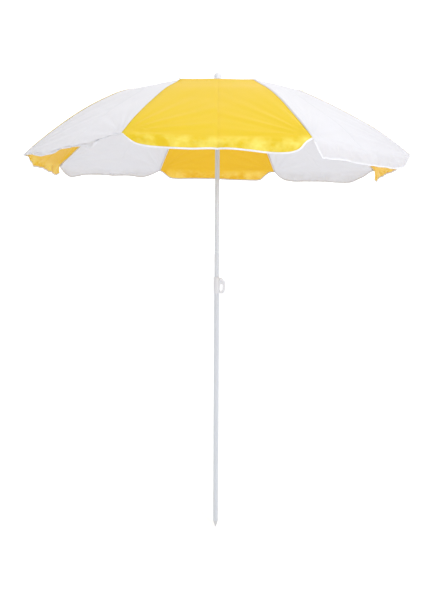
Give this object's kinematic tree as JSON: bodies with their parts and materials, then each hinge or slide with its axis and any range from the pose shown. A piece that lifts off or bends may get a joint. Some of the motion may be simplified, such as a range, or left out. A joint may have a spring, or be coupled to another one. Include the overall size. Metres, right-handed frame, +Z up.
{
  "type": "beach umbrella",
  "caption": "Beach umbrella with a panelled valanced canopy on hinged folding ribs, a telescopic two-part pole with a clamp collar and a ground spike.",
  "frame": {"origin": "the tip of the ground spike, on the pole's axis", "axes": "+Z up along the pole, -Y towards the yellow front panel, +X towards the clamp lever"},
  "size_m": [1.72, 1.72, 2.2478],
  "materials": {
    "painted_steel": "smooth pale grey-white powder coat",
    "bright_steel": "zinc-plated steel bar and wire",
    "white_plastic": "moulded white plastic, satin",
    "grey_plastic": "moulded pale grey plastic",
    "yellow_fabric": "thin plain-weave polyester with a light sheen",
    "white_fabric": "thin plain-weave polyester with a light sheen"
  },
  "bodies": {
    "lower": {"lower_pole": "painted_steel", "ground_spike": "grey_plastic", "height_collar": "white_plastic", "clamp_lever_pin": "bright_steel", "collar_rivet": "bright_steel"},
    "lever": {"clamp_lever": "white_plastic"},
    "pad": {"clamp_pad": "grey_plastic"},
    "upper": {"upper_pole": "painted_steel", "upper_pole_bush": "grey_plastic", "crown": "white_plastic", "crown_wire": "bright_steel", "crown_patch": "white_fabric", "finial": "white_plastic"},
    "catch": {"runner_catch": "bright_steel"},
    "runner": {"runner": "white_plastic", "runner_wire": "bright_steel"},
    "rib_1": {"rib_1": "bright_steel", "rib_tip_1": "grey_plastic", "panel_1_right": "yellow_fabric", "panel_2_left": "white_fabric"},
    "stretcher_1": {"stretcher_1": "bright_steel"},
    "rib_2": {"rib_2": "bright_steel", "rib_tip_2": "grey_plastic", "panel_2_right": "white_fabric", "panel_3_left": "yellow_fabric"},
    "stretcher_2": {"stretcher_2": "bright_steel"},
    "rib_3": {"rib_3": "bright_steel", "rib_tip_3": "grey_plastic", "panel_3_right": "yellow_fabric", "panel_4_left": "white_fabric"},
    "stretcher_3": {"stretcher_3": "bright_steel"},
    "rib_4": {"rib_4": "bright_steel", "rib_tip_4": "grey_plastic", "panel_4_right": "white_fabric", "panel_5_left": "yellow_fabric"},
    "stretcher_4": {"stretcher_4": "bright_steel"},
    "rib_5": {"rib_5": "bright_steel", "rib_tip_5": "grey_plastic", "panel_5_right": "yellow_fabric", "panel_6_left": "white_fabric"},
    "stretcher_5": {"stretcher_5": "bright_steel"},
    "rib_6": {"rib_6": "bright_steel", "rib_tip_6": "grey_plastic", "panel_6_right": "white_fabric", "panel_7_left": "yellow_fabric"},
    "stretcher_6": {"stretcher_6": "bright_steel"},
    "rib_7": {"rib_7": "bright_steel", "rib_tip_7": "grey_plastic", "panel_7_right": "yellow_fabric", "panel_8_left": "white_fabric"},
    "stretcher_7": {"stretcher_7": "bright_steel"},
    "rib_8": {"rib_8": "bright_steel", "rib_tip_8": "grey_plastic", "panel_8_right": "white_fabric", "panel_1_left": "yellow_fabric"},
    "stretcher_8": {"stretcher_8": "bright_steel"}
  },
  "joints": [
    {"name": "height_slide", "type": "slide", "parent": "lower", "child": "upper", "axis": [0, 0, 1], "range_m": [-0.08, 0.12]},
    {"name": "clamp_lever_hinge", "type": "hinge", "parent": "lower", "child": "lever", "pos_m": [0.0205, 0, 1.2585], "axis": [0, -1, 0], "range_deg": [0, 95]},
    {"name": "clamp_pad_slide", "type": "slide", "parent": "lower", "child": "pad", "axis": [1, 0, 0], "range_m": [0, 0.0002]},
    {"name": "runner_catch_press", "type": "slide", "parent": "upper", "child": "catch", "axis": [-1, 0, 0], "range_m": [0, 0.0035], "stiffness_N_per_m": 900, "springref_m": -0.0005},
    {"name": "canopy_fold", "type": "hinge", "parent": "upper", "child": "rib_1", "pos_m": [0.00651, -0.01571, 2.2075], "axis": [0.9239, 0.3827, 0], "range_deg": [0, 63], "deforming": ["panel_1_left", "panel_1_right", "panel_2_left", "panel_2_right", "panel_3_left", "panel_3_right", "panel_4_left", "panel_4_right", "panel_5_left", "panel_5_right", "panel_6_left", "panel_6_right", "panel_7_left", "panel_7_right", "panel_8_left", "panel_8_right", "runner_catch"]},
    {"name": "stretcher_1_hinge", "type": "hinge", "parent": "rib_1", "child": "stretcher_1", "pos_m": [0.15386, -0.37145, 2.13405], "axis": [0.9239, 0.3827, 0], "range_deg": [-126, 0]},
    {"name": "rib_2_hinge", "type": "hinge", "parent": "upper", "child": "rib_2", "pos_m": [0.01571, -0.00651, 2.2075], "axis": [0.3827, 0.9239, 0], "range_deg": [0, 63]},
    {"name": "stretcher_2_hinge", "type": "hinge", "parent": "rib_2", "child": "stretcher_2", "pos_m": [0.37145, -0.15386, 2.13405], "axis": [0.3827, 0.9239, 0], "range_deg": [-126, 0]},
    {"name": "rib_3_hinge", "type": "hinge", "parent": "upper", "child": "rib_3", "pos_m": [0.01571, 0.00651, 2.2075], "axis": [-0.3827, 0.9239, 0], "range_deg": [0, 63]},
    {"name": "stretcher_3_hinge", "type": "hinge", "parent": "rib_3", "child": "stretcher_3", "pos_m": [0.37145, 0.15386, 2.13405], "axis": [-0.3827, 0.9239, 0], "range_deg": [-126, 0]},
    {"name": "rib_4_hinge", "type": "hinge", "parent": "upper", "child": "rib_4", "pos_m": [0.00651, 0.01571, 2.2075], "axis": [-0.9239, 0.3827, 0], "range_deg": [0, 63]},
    {"name": "stretcher_4_hinge", "type": "hinge", "parent": "rib_4", "child": "stretcher_4", "pos_m": [0.15386, 0.37145, 2.13405], "axis": [-0.9239, 0.3827, 0], "range_deg": [-126, 0]},
    {"name": "rib_5_hinge", "type": "hinge", "parent": "upper", "child": "rib_5", "pos_m": [-0.00651, 0.01571, 2.2075], "axis": [-0.9239, -0.3827, 0], "range_deg": [0, 63]},
    {"name": "stretcher_5_hinge", "type": "hinge", "parent": "rib_5", "child": "stretcher_5", "pos_m": [-0.15386, 0.37145, 2.13405], "axis": [-0.9239, -0.3827, 0], "range_deg": [-126, 0]},
    {"name": "rib_6_hinge", "type": "hinge", "parent": "upper", "child": "rib_6", "pos_m": [-0.01571, 0.00651, 2.2075], "axis": [-0.3827, -0.9239, 0], "range_deg": [0, 63]},
    {"name": "stretcher_6_hinge", "type": "hinge", "parent": "rib_6", "child": "stretcher_6", "pos_m": [-0.37145, 0.15386, 2.13405], "axis": [-0.3827, -0.9239, 0], "range_deg": [-126, 0]},
    {"name": "rib_7_hinge", "type": "hinge", "parent": "upper", "child": "rib_7", "pos_m": [-0.01571, -0.00651, 2.2075], "axis": [0.3827, -0.9239, 0], "range_deg": [0, 63]},
    {"name": "stretcher_7_hinge", "type": "hinge", "parent": "rib_7", "child": "stretcher_7", "pos_m": [-0.37145, -0.15386, 2.13405], "axis": [0.3827, -0.9239, 0], "range_deg": [-126, 0]},
    {"name": "rib_8_hinge", "type": "hinge", "parent": "upper", "child": "rib_8", "pos_m": [-0.00651, -0.01571, 2.2075], "axis": [0.9239, -0.3827, 0], "range_deg": [0, 63]},
    {"name": "stretcher_8_hinge", "type": "hinge", "parent": "rib_8", "child": "stretcher_8", "pos_m": [-0.15386, -0.37145, 2.13405], "axis": [0.9239, -0.3827, 0], "range_deg": [-126, 0]},
    {"name": "runner_hinge", "type": "hinge", "parent": "stretcher_1", "child": "runner", "pos_m": [0.00651, -0.01571, 2.06059], "axis": [0.9239, 0.3827, 0], "range_deg": [0, 63]}
  ],
  "couplings": [
    {"joint": "clamp_pad_slide", "follows": "clamp_lever_hinge", "m_per_rad": 0.0001205},
    {"joint": "stretcher_1_hinge", "follows": "canopy_fold", "ratio": -2},
    {"joint": "rib_2_hinge", "follows": "canopy_fold", "ratio": 1},
    {"joint": "stretcher_2_hinge", "follows": "canopy_fold", "ratio": -2},
    {"joint": "rib_3_hinge", "follows": "canopy_fold", "ratio": 1},
    {"joint": "stretcher_3_hinge", "follows": "canopy_fold", "ratio": -2},
    {"joint": "rib_4_hinge", "follows": "canopy_fold", "ratio": 1},
    {"joint": "stretcher_4_hinge", "follows": "canopy_fold", "ratio": -2},
    {"joint": "rib_5_hinge", "follows": "canopy_fold", "ratio": 1},
    {"joint": "stretcher_5_hinge", "follows": "canopy_fold", "ratio": -2},
    {"joint": "rib_6_hinge", "follows": "canopy_fold", "ratio": 1},
    {"joint": "stretcher_6_hinge", "follows": "canopy_fold", "ratio": -2},
    {"joint": "rib_7_hinge", "follows": "canopy_fold", "ratio": 1},
    {"joint": "stretcher_7_hinge", "follows": "canopy_fold", "ratio": -2},
    {"joint": "rib_8_hinge", "follows": "canopy_fold", "ratio": 1},
    {"joint": "stretcher_8_hinge", "follows": "canopy_fold", "ratio": -2},
    {"joint": "runner_hinge", "follows": "canopy_fold", "ratio": 1}
  ]
}
